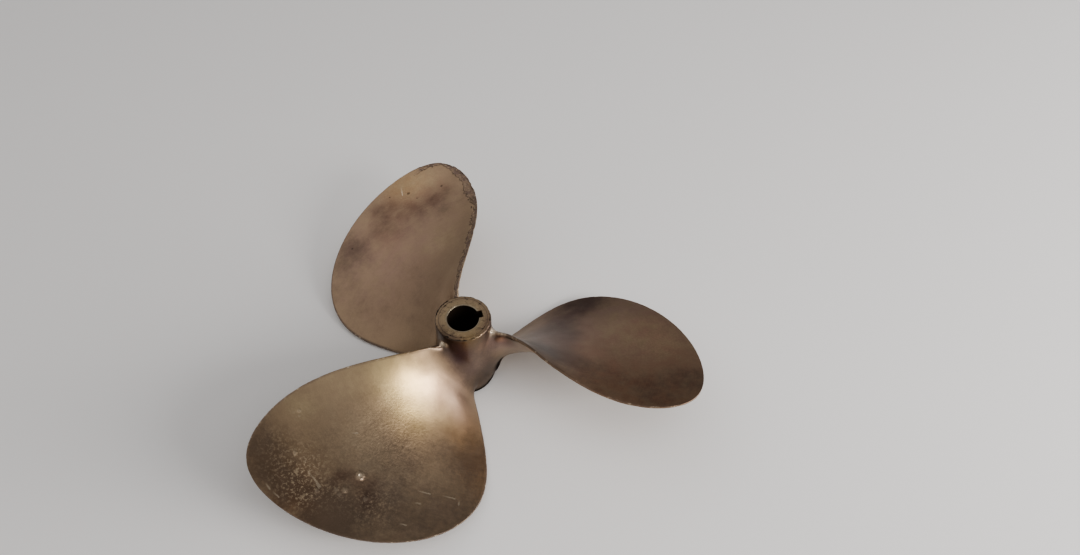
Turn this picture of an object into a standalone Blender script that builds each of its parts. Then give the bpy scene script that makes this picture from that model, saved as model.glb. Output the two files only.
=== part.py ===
# A left-handed three-bladed ship propeller, one bronze casting, as a Blender 4.5 script.
# Metres, +Z up along the shaft axis. Aft end of the hub up, forward end down, origin at the centroid.
# Blade 0 has its reference line along +X, and the keyway lies under it.

from math import atan, cos, pi, sin, sqrt

import bmesh
import bpy
from mathutils import Matrix

# Wheel
BLADES = 3
TIP_RADIUS = 0.2285

# Hub
HUB_RADIUS = 0.0264
HUB_LENGTH = 0.0922
AFT_CHAMFER = 0.0010
FORWARD_CHAMFER = 0.0025
CENTROID_HEIGHT = 0.0459

# Taper bore for a 35 mm shaft end, 1 in 16 on the diameter, with its keyway
BORE_AFT_RADIUS = 0.0149
BORE_TAPER_RATIO = 1 / 16
KEY_WIDTH = 0.0080
KEY_DEPTH = 0.0040

# Blade reference plane above the hub's forward face
BLADE_STATION = 0.0402

# Blade sizes at fractions of the tip radius, each law running smoothly through them
# Chord: length of the section at mid radius, before the outline rounds off towards the tip
CHORD_AT_20 = 0.0974
CHORD_AT_40 = 0.1593
CHORD_AT_60 = 0.2389
CHORD_AT_80 = 0.3095
CHORD_AT_TIP = 0.3159
# Skew: how far the middle of the chord lies back along the helix from the reference line
SKEW_AT_30 = 0.0135
SKEW_AT_50 = 0.0282
SKEW_AT_75 = 0.0572
SKEW_AT_TIP = 0.1331
# Rake: how far the blade leans forward, along the shaft
RAKE_AT_60 = 0.0080
RAKE_AT_TIP = 0.0055
# Pitch: how far the face's helix climbs in one turn
PITCH_AT_ROOT = 0.4645
PITCH_AT_60 = 0.4103
PITCH_AT_TIP = 0.4616
ROOT_FRACTION = 0.115

# Blade thickness, from the shaft axis to the tip and along the rim
AXIS_THICKNESS = 0.0165
TIP_THICKNESS = 0.0030
ROOT_EDGE_THICKNESS = 0.0050
EDGE_THICKNESS = 0.0020
ROOT_FILLET = 0.0175
TRAILING_FILLET = 0.0070

# How far a blade's root runs into the hub, and how far a cutter runs out of it
ROOT_DEPTH = 0.0045
CUTTER_MARGIN = 0.0050

# Mesh fineness
ROUND_STEPS = 72
CHORD_STEPS = 14
FILLET_STEPS = 5
SPAN_STEPS = 22

CHORDS = ((0.2, CHORD_AT_20), (0.4, CHORD_AT_40), (0.6, CHORD_AT_60), (0.8, CHORD_AT_80), (1.0, CHORD_AT_TIP))
SKEWS = ((ROOT_FRACTION, 0.0), (0.3, SKEW_AT_30), (0.5, SKEW_AT_50), (0.75, SKEW_AT_75), (1.0, SKEW_AT_TIP))
RAKES = ((ROOT_FRACTION, 0.0), (0.6, RAKE_AT_60), (1.0, RAKE_AT_TIP))
PITCHES = ((ROOT_FRACTION, PITCH_AT_ROOT), (0.6, PITCH_AT_60), (1.0, PITCH_AT_TIP))
FORWARD_Z = -CENTROID_HEIGHT
AFT_Z = FORWARD_Z + HUB_LENGTH
BLADE_Z = FORWARD_Z + BLADE_STATION


def smooth_law(stations, at):
    """Value at a fraction of the tip radius, on the one polynomial that passes through every station."""
    total = 0.0
    for place, value in stations:
        weight = 1.0
        for other, _ in stations:
            if other != place:
                weight *= (at - other) / (place - other)
        total += weight * value
    return total


def fillet_width(radius, fillet):
    """Width that a round fillet adds at a distance from the hub's side."""
    gap = min(max(radius - HUB_RADIUS, 0.0), fillet)
    return fillet - sqrt(fillet ** 2 - (fillet - gap) ** 2)


def section_loop():
    """Points round a blade section as (place along the chord -1 to 1, depth 0 face to 1 back, edge -1 to 1)."""
    face = [(-1 + 2 * i / CHORD_STEPS, 0.0, 0.0) for i in range(CHORD_STEPS + 1)]
    leading = [(1.0, 0.25, 0.7), (1.0, 0.5, 1.0), (1.0, 0.75, 0.7)]
    back = [(place, 1.0, 0.0) for place, _, _ in reversed(face)]
    trailing = [(-1.0, 0.75, -0.7), (-1.0, 0.5, -1.0), (-1.0, 0.25, -0.7)]
    return face + leading + back + trailing


def blade_point(radius, place, depth, bulge):
    """One surface point of blade 0: the flat face looks aft, the rounded back looks forward."""
    fraction = radius / TIP_RADIUS
    chord = smooth_law(CHORDS, fraction) * sqrt(1 - fraction ** 2)
    pitch_angle = atan(smooth_law(PITCHES, fraction) / (2 * pi * radius))
    middle = -smooth_law(SKEWS, fraction)
    rake = -smooth_law(RAKES, fraction)
    mid_thickness = AXIS_THICKNESS + (TIP_THICKNESS - AXIS_THICKNESS) * fraction
    edge_thickness = EDGE_THICKNESS + (ROOT_EDGE_THICKNESS - EDGE_THICKNESS) * (1 - fraction) ** 4
    half = chord / 2 - edge_thickness / 2
    crown = 1 - place ** 2
    thickness = edge_thickness + (mid_thickness - edge_thickness) * crown
    along = middle + half * place + bulge * edge_thickness / 2
    along -= fillet_width(radius, TRAILING_FILLET) * min(place, 0.0) ** 2
    widening = fillet_width(radius, ROOT_FILLET) * sqrt(crown)
    below = depth * thickness + (2 * depth - 1) * widening
    turn = (along * cos(pitch_angle) - below * sin(pitch_angle)) / radius
    height = BLADE_Z + rake - along * sin(pitch_angle) - below * cos(pitch_angle)
    return radius * cos(turn), radius * sin(turn), height


def blade_radii():
    """Radii of the blade's sections, close together in the fillet and towards the tip."""
    radii = [HUB_RADIUS - ROOT_DEPTH]
    for step in range(FILLET_STEPS, 0, -1):
        radii.append(HUB_RADIUS + ROOT_FILLET * (1 - sin(step / FILLET_STEPS * pi / 2)))
    start = HUB_RADIUS + ROOT_FILLET
    for step in range(SPAN_STEPS):
        radii.append(start + (TIP_RADIUS - start) * sin(step / SPAN_STEPS * pi / 2))
    radii.append(start + (TIP_RADIUS - start) * sin((1 - 0.3 / SPAN_STEPS) * pi / 2))
    return radii


def blade(number):
    """One blade as a closed body: sections joined in rings, a cap in the hub and a point at the tip."""
    mesh = bmesh.new()
    loop = section_loop()
    rings = []
    for radius in blade_radii():
        rings.append([mesh.verts.new(blade_point(radius, *point)) for point in loop])
    for inner, outer in zip(rings, rings[1:]):
        for i in range(len(loop)):
            j = (i + 1) % len(loop)
            mesh.faces.new((inner[i], inner[j], outer[j], outer[i]))
    mesh.faces.new(list(reversed(rings[0])))
    tip = mesh.verts.new(blade_point(TIP_RADIUS, 0.0, 0.5, 0.0))
    for i in range(len(loop)):
        mesh.faces.new((rings[-1][i], rings[-1][(i + 1) % len(loop)], tip))
    bmesh.ops.rotate(mesh, verts=mesh.verts, matrix=Matrix.Rotation(number * 2 * pi / BLADES, 3, "Z"))
    return finished(f"blade_{number}", mesh)


def turned(name, profile):
    """A body turned round the shaft axis from (radius, height) points that run from top to bottom."""
    mesh = bmesh.new()
    line = [mesh.verts.new((radius, 0.0, z)) for radius, z in profile]
    edges = [mesh.edges.new(pair) for pair in zip(line, line[1:])]
    bmesh.ops.spin(mesh, geom=line + edges, axis=(0, 0, 1), cent=(0, 0, 0), steps=ROUND_STEPS, angle=2 * pi)
    bmesh.ops.remove_doubles(mesh, verts=mesh.verts, dist=1e-6)
    return finished(name, mesh)


def finished(name, mesh):
    """A new object from the mesh, with its faces pointing out."""
    bmesh.ops.recalc_face_normals(mesh, faces=mesh.faces)
    data = bpy.data.meshes.new(name)
    mesh.to_mesh(data)
    mesh.free()
    item = bpy.data.objects.new(name, data)
    bpy.context.collection.objects.link(item)
    return item


def hub():
    """The solid hub, with a chamfer round each end."""
    return turned("propeller", (
        (0.0, AFT_Z),
        (HUB_RADIUS - AFT_CHAMFER, AFT_Z),
        (HUB_RADIUS, AFT_Z - AFT_CHAMFER),
        (HUB_RADIUS, FORWARD_Z + FORWARD_CHAMFER),
        (HUB_RADIUS - FORWARD_CHAMFER, FORWARD_Z),
        (0.0, FORWARD_Z),
    ))


def bore_radius(z):
    """Radius of the taper bore at a height."""
    return BORE_AFT_RADIUS + (AFT_Z - z) * BORE_TAPER_RATIO / 2


def bore_cutter():
    """The taper bore, run out past both ends of the hub."""
    top = AFT_Z + CUTTER_MARGIN
    bottom = FORWARD_Z - CUTTER_MARGIN
    return turned("bore", ((0.0, top), (bore_radius(top), top), (bore_radius(bottom), bottom), (0.0, bottom)))


def key_cutter():
    """The keyway: its floor keeps the key's depth outside the tapered bore."""
    mesh = bmesh.new()
    corners = []
    for z in (AFT_Z + CUTTER_MARGIN, FORWARD_Z - CUTTER_MARGIN):
        for x in (0.0, bore_radius(z) + KEY_DEPTH):
            for y in (-KEY_WIDTH / 2, KEY_WIDTH / 2):
                corners.append(mesh.verts.new((x, y, z)))
    for face in ((0, 1, 3, 2), (4, 6, 7, 5), (0, 2, 6, 4), (1, 5, 7, 3), (2, 3, 7, 6), (0, 4, 5, 1)):
        mesh.faces.new([corners[i] for i in face])
    return finished("keyway", mesh)


def combine(body, other, operation):
    """Joins the other body to this one, or cuts it away, with an exact boolean."""
    other.hide_render = True
    other.display_type = "WIRE"
    step = body.modifiers.new(other.name, "BOOLEAN")
    step.object = other
    step.operation = operation
    step.solver = "EXACT"


def bronze():
    """Worn manganese bronze."""
    material = bpy.data.materials.new("bronze")
    material.use_nodes = True
    shader = material.node_tree.nodes["Principled BSDF"]
    shader.inputs["Base Color"].default_value = (0.30, 0.20, 0.11, 1.0)
    shader.inputs["Metallic"].default_value = 1.0
    shader.inputs["Roughness"].default_value = 0.38
    return material


def main():
    for item in list(bpy.data.objects):
        bpy.data.objects.remove(item)
    propeller = hub()
    propeller.data.materials.append(bronze())
    for number in range(BLADES):
        combine(propeller, blade(number), "UNION")
    combine(propeller, bore_cutter(), "DIFFERENCE")
    combine(propeller, key_cutter(), "DIFFERENCE")
    propeller.data.shade_smooth()


main()
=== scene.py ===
# A left-handed three-bladed ship propeller for Blender 4.5: one worn bronze casting on a pale floor.
# Metres, +Z up along the shaft axis, aft end of the hub up, origin at the centroid.
# Blade 0's reference line and the keyway lie along +X. Blades 1 and 2 follow at 120 and 240 degrees.

from math import cos, pi, radians, sin

import bmesh
import bpy
import numpy as np
from mathutils import Matrix, Quaternion, Vector, noise


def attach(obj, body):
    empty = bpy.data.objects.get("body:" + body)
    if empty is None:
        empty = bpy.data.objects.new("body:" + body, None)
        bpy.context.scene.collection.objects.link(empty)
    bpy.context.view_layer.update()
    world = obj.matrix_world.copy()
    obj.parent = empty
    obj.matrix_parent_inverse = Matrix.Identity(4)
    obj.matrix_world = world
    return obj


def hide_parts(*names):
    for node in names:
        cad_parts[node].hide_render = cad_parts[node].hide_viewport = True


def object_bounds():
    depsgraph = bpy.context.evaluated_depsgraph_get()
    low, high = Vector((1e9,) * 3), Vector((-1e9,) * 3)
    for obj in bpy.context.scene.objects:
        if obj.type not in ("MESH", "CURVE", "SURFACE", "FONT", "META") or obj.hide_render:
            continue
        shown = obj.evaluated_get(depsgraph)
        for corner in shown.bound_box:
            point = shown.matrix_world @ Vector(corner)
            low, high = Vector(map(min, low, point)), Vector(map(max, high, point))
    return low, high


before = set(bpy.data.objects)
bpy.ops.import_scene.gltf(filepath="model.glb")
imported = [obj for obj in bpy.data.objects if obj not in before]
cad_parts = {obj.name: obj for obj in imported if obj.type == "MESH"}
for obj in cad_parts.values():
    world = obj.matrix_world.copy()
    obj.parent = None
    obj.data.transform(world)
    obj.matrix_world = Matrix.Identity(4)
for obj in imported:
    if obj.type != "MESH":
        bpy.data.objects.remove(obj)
CAD_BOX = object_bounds()

# Wheel and hub
BLADES = 3
TIP_RADIUS = 0.2285
HUB_RADIUS = 0.0264
HUB_LENGTH = 0.0922
AFT_CHAMFER = 0.0010
FORWARD_CHAMFER = 0.0025
CENTROID_HEIGHT = 0.0459
BLADE_STATION = 0.0402

# Taper bore and keyway
BORE_AFT_RADIUS = 0.0149
BORE_TAPER_RATIO = 1 / 16
KEY_WIDTH = 0.0080
KEY_DEPTH = 0.0040

# How far the hub's corners are worn round, from the bore's aft edge out, down and in to its forward edge
ROUNDINGS = (0.0007, 0.0006, 0.0007, 0.0008, 0.0008, 0.0006)

# Blade laws as (fraction of the tip radius, size); smooth curves pass through the sizes
CHORDS = ((0.2, 0.0974), (0.4, 0.1593), (0.6, 0.2389), (0.8, 0.3095), (1.0, 0.3159))
SKEWS = ((0.115, 0.0), (0.3, 0.0135), (0.5, 0.0282), (0.75, 0.0572), (1.0, 0.1331))
RAKES = ((0.115, 0.0), (0.6, 0.0080), (1.0, 0.0055))
PITCHES = ((0.115, 0.4645), (0.6, 0.4103), (1.0, 0.4616))

# Blade thickness, from the shaft axis to the tip and along the rim, and the fillets at the root
AXIS_THICKNESS = 0.0165
TIP_THICKNESS = 0.0030
ROOT_EDGE_THICKNESS = 0.0050
EDGE_THICKNESS = 0.0020
ROOT_FILLET = 0.0175
TRAILING_FILLET = 0.0070

# How far a blade's root runs into the hub, and where the keyway's cutter starts and how far it runs out
ROOT_DEPTH = 0.0040
CUTTER_START = 0.0020
CUTTER_MARGIN = 0.0050

# Mesh fineness
ROUND_STEPS = 180
CHORD_STEPS = 68
EDGE_STEPS = 6
FILLET_STEPS = 14
SPAN_STEPS = 110
ARC_STEPS = 4
HUB_SPACING = 0.0020
LUMP_CUTS = 5
LUMP_MARGIN = 0.0025
UNCUT_LENGTH = 0.0012
SHARP_ANGLE = radians(50)

# Spacing of a blade's sections, from just inside the hub's side to just inside the tip
FIRST_INSET = 0.0002
FILLET_STRETCH = 1.0125
LAST_STEP = 0.3
TIP_INSET = 1e-7

# How points find their blade: past this place they lie off its edge, which counts as a larger miss
OVERRUN = 1.1
OVERRUN_COST = 10
SHORTEST_HALF_CHORD = 1e-4

FORWARD_Z = -CENTROID_HEIGHT
AFT_Z = FORWARD_Z + HUB_LENGTH
BLADE_Z = FORWARD_Z + BLADE_STATION

# The camera stands where the photographer stood
CAMERA_PLACE = (-0.0855, -0.4675, 0.6836)
CAMERA_PAN = radians(-18.92)
CAMERA_TILT = radians(50.70)
CAMERA_ROLL = radians(1.79)
CAMERA_LENS = 28.24
SENSOR_WIDTH = 36.0
NEAREST_SEEN = 0.01
EXPOSURE = 0.5

# Floor
FLOOR_SIZE = 40.0
FLOOR_COLOR = (0.80, 0.785, 0.78, 1.0)
FLOOR_ROUGHNESS = 0.9
FLOOR_SPECULAR = 0.1

# Room light from below the horizon to overhead, and what shows behind the floor
ROOM_COLOR = (1.0, 0.985, 0.97, 1.0)
ROOM_HEIGHTS = (-0.1, 1.0)
ROOM_LEVELS = (0.20, 0.42)
BACKDROP_LEVEL = 0.42

# The room's dim directions as (azimuth, elevation, reach, share of the light kept), angles in degrees
ROOM_DIMS = (
    (64, 15, 60, 0.55),
    (8, 58, 40, 0.36),
    (-98, 30, 45, 0.60),
)

# Lamps as (name, azimuth, elevation, distance, width, height, radiance, roll, colour, shown in gloss)
WARM = (1.0, 0.985, 0.965)
WHITE = (1.0, 1.0, 1.0)
LAMPS = (
    ("key", -40, 21.5, 2.2, 1.80, 0.64, 8.2, -46, WARM, True),
    ("side", -7, 6, 2.2, 0.9, 0.6, 4.6, 0, WARM, True),
    ("back", 122, 48, 2.4, 1.6, 1.2, 0.165, 0, WHITE, True),
    ("floor_fill", -60, 65, 2.5, 1.8, 1.8, 0.8, 0, WHITE, False),
)

# Bronze tones
GOLD = (0.515, 0.400, 0.250, 1.0)
BRONZE = (0.380, 0.278, 0.187, 1.0)
BROWN = (0.203, 0.147, 0.108, 1.0)
FLECK = (0.46, 0.36, 0.25, 1.0)
GREYED = (0.200, 0.140, 0.120, 1.0)
# Near-black of soot and cracks, also used for painted shade
SOOT_AND_SHADE = (0.020, 0.015, 0.013, 1.0)
EDGE_BROWN = (0.115, 0.082, 0.066, 1.0)
BRIGHT = (0.74, 0.62, 0.47, 1.0)
PALE_RIM = (0.40, 0.38, 0.30, 1.0)

# Tints that multiply the tone
YELLOWER = (1.05, 0.99, 0.72)
REDDER = (0.95, 0.80, 0.74)
ROSIER = (1.00, 0.94, 1.06)
DUSKY = (0.65, 0.59, 0.62)
DARKER = (0.52, 0.52, 0.53)
VIOLET = (0.66, 0.62, 0.90)
BLUER = (1.00, 1.00, 1.20)
GREENER = (0.91, 1.00, 1.08)
LIGHTER = (1.40, 1.32, 1.24)
PALER = (1.35, 1.50, 1.60)

# How far out the blades leave the hub and its side wall ends, and how far down from the top the wall starts
OFF_HUB = (0.0005, 0.0080)
SIDE_WALL = (0.0140, 0.0010)
WALL_DROP = 0.0005

# Depths through a blade over which its back turns into its face
FACE_DEPTHS = (0.75, 0.25)

# The blade with the worn trailing edge, and the places over which the wear sets in
WORN_BLADE = 1
WORN_PLACES = (0.05, -0.30)

# How each octave of the smooth noise falls off, and how much finer it is than the last
WAVE_OCTAVES = (1.0, 2.0)

# Swells of the surface as (height, size), their share on the hub, and their fading at the rims
SWELLS = ((0.00030, 0.045), (0.00008, 0.012))
SWELL_ON_HUB = 0.25
SWELL_RIM = (-0.003, 0.007)

# Chips and dings as (depth, size, level of noise where they start, octaves), and how far in they reach
WORN_CHIPS = (0.0018, 0.0080, 0.05, 2)
FINE_CHIPS = (0.0004, 0.0045, 0.15, 1)
CHIP_REACH = (0.0016, 0.0)
DINGS = (0.0009, 0.0050, 0.05, 2)
DING_REACH = (0.0034, 0.0006)

# Ledge along the worn trailing edge, whose border wanders by (amount, size)
LEDGE_DEPTH = 0.0004
LEDGE_REACH = (0.0042, 0.0026)
LEDGE_WANDER = (0.0012, 0.0080)

# Uneven outlines of small lumps as (amount, size), and the shares of a lump's reach with its top and dip
LUMP_UNEVENNESS = (0.0006, 0.0024)
LUMP_TOP = 0.3
DIP_REACH = 0.42

# Painted contact shadow round the hub's foot: how high and how far out it reaches
FOOT_SHADOW_HEIGHT = 0.0060
FOOT_SHADOW_REACH = 0.0100

# How far the hub's side wall is darkened as painted shade, how grainy it is, and how much of the mottling
# the calm marks take away
WALL_SHADE = 0.42
WALL_GRAIN = 0.40
CALMEST = 0.9

# How dark the trailing and leading rims are, between which places, and how far in; the darkening is partly
# patina and partly painted shade
EDGE_SHARES = (0.48, 0.80)
EDGE_PLACES = (-0.2, 0.4)
EDGE_REACH = (0.0018, 0.0004)

# Distance that keeps the rims' wear off the hub
RIM_ON_HUB = 0.02

# The flaked strip along the worn trailing edge: how far in it reaches, and its shift between two fractions
STRIP_REACH = (0.017, 0.010)
INSET_FRACTIONS = (0.60, 0.76)
STRIP_INSETS = (0.0025, -0.0015)

# Shifts that give each blade, and its back, sanding streaks of their own
BLADE_SHIFT = 10
BACK_SHIFT = 5.0

# Mottling of the tinted marks as (amount, size, octaves), where it sets in, and its limits
TINT_LEVEL = 0.9
TINT_MOTTLING = (0.6, 0.010, 4)
TINT_RADII = (0.06, 0.15)
TINT_LIMITS = (0.1, 1.6)

# Marks on the blades' faces as (blade, fraction, place, spread in metres, amount); on blade 2's root the
# gold marks are partly painted highlight, and on the roots of blades 0 and 2 the brown marks are partly
# painted shade
GOLD_AND_HIGHLIGHT = (
    (0, 0.71, 0.25, 0.045, 0.45), (0, 0.86, 0.10, 0.040, 0.35), (0, 0.48, -0.33, 0.020, 0.30),
    (1, 0.93, 0.10, 0.030, 0.35), (1, 0.87, 0.53, 0.010, 0.35), (1, 0.70, 0.25, 0.025, 0.20),
    (1, 0.90, -0.45, 0.020, 0.30), (1, 0.54, -0.50, 0.030, 0.30), (2, 0.36, -0.62, 0.032, 0.35),
    (2, 0.35, -0.82, 0.020, 0.50), (2, 0.40, -0.25, 0.030, 0.35), (2, 0.33, 0.25, 0.022, 0.30),
    (2, 0.54, -0.92, 0.030, 0.25), (2, 0.73, -0.83, 0.014, 0.30), (2, 0.98, -0.05, 0.010, 0.25),
    (2, 0.96, 0.50, 0.012, 0.30), (2, 0.60, -0.70, 0.035, 0.20), (2, 0.61, -0.36, 0.022, 0.22),
    (2, 0.38, 0.75, 0.014, 0.22),
)
BROWN_AND_SHADE = (
    (0, 0.40, 0.20, 0.035, 0.55), (0, 0.42, -0.50, 0.030, 0.60), (0, 0.62, -0.80, 0.045, 0.14),
    (0, 0.82, -0.80, 0.055, 0.25), (0, 0.97, 0.00, 0.035, 0.26), (0, 0.64, 0.90, 0.030, 0.45),
    (1, 0.81, 0.72, 0.016, 0.25), (1, 0.68, -0.20, 0.016, 0.15), (1, 0.79, 0.72, 0.024, 0.12),
    (1, 0.76, 0.30, 0.028, 0.20), (1, 0.68, -0.55, 0.022, 0.18), (2, 0.90, -0.90, 0.026, 0.36),
    (2, 0.95, -0.50, 0.024, 0.22), (2, 0.78, 0.38, 0.022, 0.08), (2, 0.93, 0.68, 0.024, 0.35),
    (2, 0.94, 0.45, 0.030, 0.40), (2, 0.43, 0.30, 0.017, 0.25), (2, 0.82, 0.62, 0.040, 0.25),
    (2, 0.72, 0.88, 0.035, 0.25), (2, 0.40, 0.80, 0.022, 0.40), (2, 0.52, 0.00, 0.025, 0.20),
    (2, 0.49, -0.50, 0.022, 0.30), (2, 0.66, -0.60, 0.030, 0.15), (2, 0.93, -0.22, 0.016, 0.25),
    (2, 0.50, 0.73, 0.020, 0.18), (2, 0.92, -0.42, 0.016, 0.12),
)
FLECKED = (
    (1, 0.90, -0.15, 0.018, 0.35), (2, 0.86, -0.48, 0.020, 0.60), (2, 0.85, -0.28, 0.020, 1.00),
    (2, 0.90, -0.08, 0.016, 0.80), (2, 0.91, 0.08, 0.010, 0.60), (2, 0.80, -0.38, 0.014, 0.50),
    (2, 0.86, -0.72, 0.012, 0.35), (2, 0.73, -0.83, 0.010, 0.70), (2, 0.82, 0.04, 0.012, 0.55),
    (2, 0.79, 0.33, 0.018, 0.70),
)
CALM = (
    (0, 0.30, 0.00, 0.030, 0.80), (0, 0.42, -0.10, 0.036, 0.70), (0, 0.45, 0.50, 0.030, 0.40),
)
GRAINY = (
    (0, 0.82, 0.10, 0.050, 0.60), (1, 0.88, 0.00, 0.050, 0.50), (2, 0.51, -0.10, 0.036, 0.55),
    (2, 0.56, 0.15, 0.030, 0.60), (2, 0.60, -0.30, 0.028, 0.40), (2, 0.78, 0.32, 0.022, 1.00),
    (2, 0.85, -0.25, 0.040, 0.50), (2, 0.38, -0.35, 0.030, 0.20),
)

# Tinted marks on the blades' faces, by tint, in the same columns
TINTED = (
    (BLUER, (
        (0, 0.72, 0.35, 0.075, 0.70),
    )),
    (REDDER, (
        (0, 0.70, -0.05, 0.100, 0.40), (0, 0.42, -0.25, 0.045, 0.60), (0, 0.80, 0.40, 0.030, 0.40),
        (0, 0.88, 0.10, 0.022, 0.25), (0, 0.62, -0.85, 0.040, 0.60), (0, 0.84, -0.75, 0.045, 0.60),
        (1, 0.92, -0.20, 0.035, 0.40), (1, 0.75, 0.10, 0.022, 0.35), (2, 0.48, 0.10, 0.035, 0.25),
        (2, 0.30, 0.75, 0.020, 0.45), (2, 0.86, -0.20, 0.025, 0.20), (2, 0.92, -0.20, 0.045, 0.30),
        (2, 0.96, 0.25, 0.020, 0.35),
    )),
    (ROSIER, (
        (0, 0.75, 0.10, 0.100, 0.35), (1, 0.62, 0.00, 0.085, 0.90), (2, 0.26, 0.00, 0.022, 0.70),
        (2, 0.22, 0.40, 0.018, 0.70),
    )),
    # Dusky marks: those along blade 0's leading root are painted shade, and the arc round blade 2's big
    # lump is partly a dark smudge and partly the lump's painted shadow
    (DUSKY, (
        (0, 0.46, 0.66, 0.024, 0.80), (0, 0.56, 0.80, 0.022, 0.85), (0, 0.65, 0.92, 0.020, 0.60),
        (1, 0.878, 0.39, 0.009, 0.55), (1, 0.872, 0.20, 0.010, 0.65), (1, 0.840, 0.03, 0.010, 0.55),
        (1, 0.804, -0.14, 0.010, 0.50), (1, 0.785, -0.29, 0.011, 0.55), (1, 0.780, -0.45, 0.011, 0.55),
        (1, 0.795, -0.58, 0.011, 0.55), (1, 0.815, -0.70, 0.010, 0.45), (1, 0.813, 0.67, 0.012, 0.35),
        (2, 0.797, -0.083, 0.0050, 0.60), (2, 0.776, -0.117, 0.0050, 0.70),
        (2, 0.757, -0.127, 0.0050, 0.75), (2, 0.740, -0.102, 0.0055, 0.70),
        (2, 0.733, -0.054, 0.0055, 0.60), (2, 0.730, 0.010, 0.0050, 0.50),
        (2, 0.743, 0.040, 0.0060, 0.50), (2, 0.748, 0.100, 0.0080, 0.65),
        (2, 0.765, 0.160, 0.0090, 0.40), (2, 0.779, 0.230, 0.0110, 0.40),
        (2, 0.792, 0.300, 0.0080, 0.45), (2, 0.718, 0.085, 0.0075, 0.60),
        (2, 0.700, 0.075, 0.0045, 0.40),
    )),
    # Darker marks: those on blade 0's root and at the edges of blade 2's highlight are painted shade
    (DARKER, (
        (0, 0.29, -0.70, 0.022, 0.95), (0, 0.36, -0.74, 0.020, 0.75), (0, 0.24, -0.95, 0.018, 0.80),
        (0, 0.34, -0.95, 0.018, 0.80), (0, 0.44, -0.93, 0.018, 0.50), (0, 0.42, -0.10, 0.036, 0.25),
        (0, 0.40, 0.32, 0.030, 0.60), (0, 0.43, 0.84, 0.012, 0.45), (0, 0.34, 0.90, 0.010, 0.35),
        (0, 0.30, -0.40, 0.012, 0.35), (0, 0.36, -0.62, 0.012, 0.35), (1, 0.82, 0.20, 0.024, 0.45),
        (1, 0.75, -0.20, 0.024, 0.25), (2, 0.175, -0.97, 0.009, 0.50), (2, 0.30, 0.54, 0.014, 0.45),
    )),
    (YELLOWER, (
        (1, 0.93, 0.10, 0.022, 0.40), (2, 0.35, -0.60, 0.030, 0.65), (2, 0.41, -0.15, 0.022, 0.60),
        (2, 0.37, 0.15, 0.022, 0.30), (2, 0.36, 0.80, 0.020, 0.35), (2, 0.85, -0.60, 0.045, 0.12),
        (2, 0.92, -0.10, 0.040, 0.12),
    )),
    (GREENER, (
        (2, 0.62, 0.10, 0.070, 0.40), (2, 0.78, -0.30, 0.060, 0.25), (2, 0.98, 0.00, 0.014, 0.50),
    )),
    # Lighter marks on blade 2's root are painted highlight
    (LIGHTER, (
        (2, 0.27, -0.70, 0.020, 0.60), (2, 0.33, -0.72, 0.014, 0.35), (2, 0.235, -0.22, 0.015, 0.60),
    )),
)

# Tinted marks on and near the hub, by tint, as (azimuth in degrees, radius, height, spread, amount)
HUB_TINTED = (
    # Violet marks on the hub's side by blade 2's root are a painted dark reflection
    (VIOLET, (
        (-131, 0.0264, 0.037, 0.008, 0.50), (-115, 0.0264, 0.040, 0.007, 0.70),
        (-120, 0.0264, 0.031, 0.010, 0.50), (-110, 0.0264, 0.025, 0.009, 0.80),
        (-113, 0.0264, 0.016, 0.007, 0.60),
    )),
    # Darker marks on the hub's side and under blade 2's root are painted shade
    (DARKER, (
        (-150, 0.0264, 0.044, 0.006, 0.80), (-126, 0.0264, 0.044, 0.005, 0.80),
        (-80, 0.0264, -0.024, 0.014, 0.65), (-52, 0.0264, -0.026, 0.014, 0.50),
        (-108, 0.0470, -0.022, 0.010, 0.40), (-152, 0.0190, 0.0463, 0.0085, 0.60),
    )),
    (BLUER, (
        (-45, 0.0264, 0.030, 0.016, 0.50), (-38, 0.0400, 0.020, 0.014, 0.80),
        (-85, 0.0264, 0.000, 0.018, 0.70),
    )),
    # Dusky marks at blade 0's trailing root are painted shade
    (DUSKY, (
        (-38, 0.0430, 0.026, 0.010, 0.85), (-36, 0.0446, 0.024, 0.008, 0.60),
        (-37, 0.0385, 0.0300, 0.0040, 0.50), (-30, 0.0230, 0.046, 0.010, 0.80),
        (-150, 0.0230, 0.046, 0.010, 0.50),
    )),
    (LIGHTER, (
        (-52, 0.0264, 0.028, 0.009, 0.85), (-66, 0.0264, 0.028, 0.007, 0.50),
    )),
    (PALER, (
        (-38, 0.0385, 0.0290, 0.0050, 0.80),
    )),
    (YELLOWER, (
        (-95, 0.0264, 0.046, 0.014, 0.80),
    )),
)

# Painted shadow round the hub's foot and painted shade along blade 0's root, and small painted highlights
# at the blades' roots, in the same columns
PAINTED_SHADOWS = (
    (-18, 0.0264, -0.0380, 0.0068, 1.60), (-20, 0.0270, -0.0310, 0.0058, 1.50),
    (-25, 0.0292, -0.0262, 0.0050, 1.40), (-24, 0.0325, -0.0200, 0.0045, 1.30),
    (-23, 0.0356, -0.0140, 0.0036, 1.00), (-34, 0.0264, -0.0415, 0.0056, 1.60),
    (-52, 0.0264, -0.0425, 0.0050, 1.50), (-70, 0.0264, -0.0430, 0.0046, 1.40),
    (-86, 0.0264, -0.0430, 0.0040, 1.20), (-38.8, 0.0445, 0.0335, 0.0022, 0.65),
    (-39.4, 0.0477, 0.0339, 0.0024, 0.80), (-40.2, 0.0505, 0.0342, 0.0022, 0.70),
    (-40.7, 0.0535, 0.0344, 0.0020, 0.50),
)
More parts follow.
